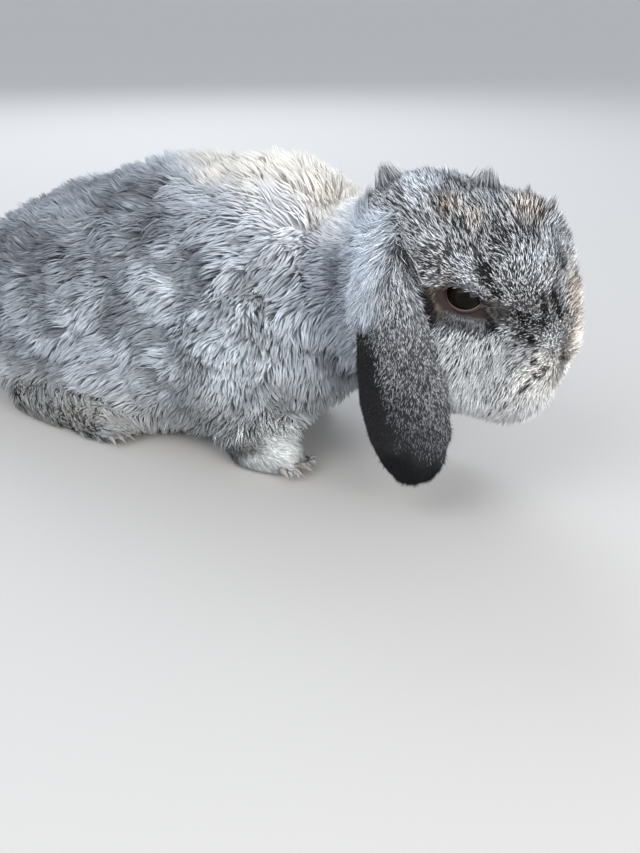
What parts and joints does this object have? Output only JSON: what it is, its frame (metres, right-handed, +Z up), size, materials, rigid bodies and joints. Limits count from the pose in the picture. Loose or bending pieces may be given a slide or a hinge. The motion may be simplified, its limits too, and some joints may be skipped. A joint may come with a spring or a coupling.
{
  "type": "lop-eared rabbit",
  "caption": "Life-size still model of a crouching grey lop-eared rabbit with hanging ears, its head stretched low and forward as if grazing.",
  "frame": {"origin": "on the floor under the middle of the animal's box", "axes": "+X the way the trunk faces, +Y to the rabbit's left, +Z up"},
  "size_m": [0.4018, 0.1436, 0.1484],
  "materials": {
    "coat_grey": "dense grizzled blue-silver fur with dark ticking, soft sheen, matte",
    "coat_pale": "pale cream-white fur, soft and matte",
    "coat_dark": "dark grey fur, soft and matte",
    "eye": "wet glossy dark brown eye",
    "claw": "translucent horn-brown claw, satin"
  },
  "bodies": {
    "root": {"head": "coat_grey", "trunk": "coat_grey", "foreleg_right": "coat_grey", "foreleg_left": "coat_grey", "thigh_right": "coat_grey", "thigh_left": "coat_grey", "ear_right": "coat_grey", "ear_left": "coat_grey", "neck": "coat_pale", "forepaw_right": "coat_pale", "forepaw_left": "coat_pale", "hindfoot_right": "coat_pale", "hindfoot_left": "coat_pale", "tail": "coat_dark", "eye_right": "eye", "eye_left": "eye", "claw_fore_right_1": "claw", "claw_fore_right_2": "claw", "claw_fore_right_3": "claw", "claw_fore_right_4": "claw", "claw_fore_right_5": "claw", "claw_fore_left_1": "claw", "claw_fore_left_2": "claw", "claw_fore_left_3": "claw", "claw_fore_left_4": "claw", "claw_fore_left_5": "claw", "claw_hind_right_1": "claw", "claw_hind_right_2": "claw", "claw_hind_right_3": "claw", "claw_hind_right_4": "claw", "claw_hind_left_1": "claw", "claw_hind_left_2": "claw", "claw_hind_left_3": "claw", "claw_hind_left_4": "claw"}
  },
  "joints": []
}
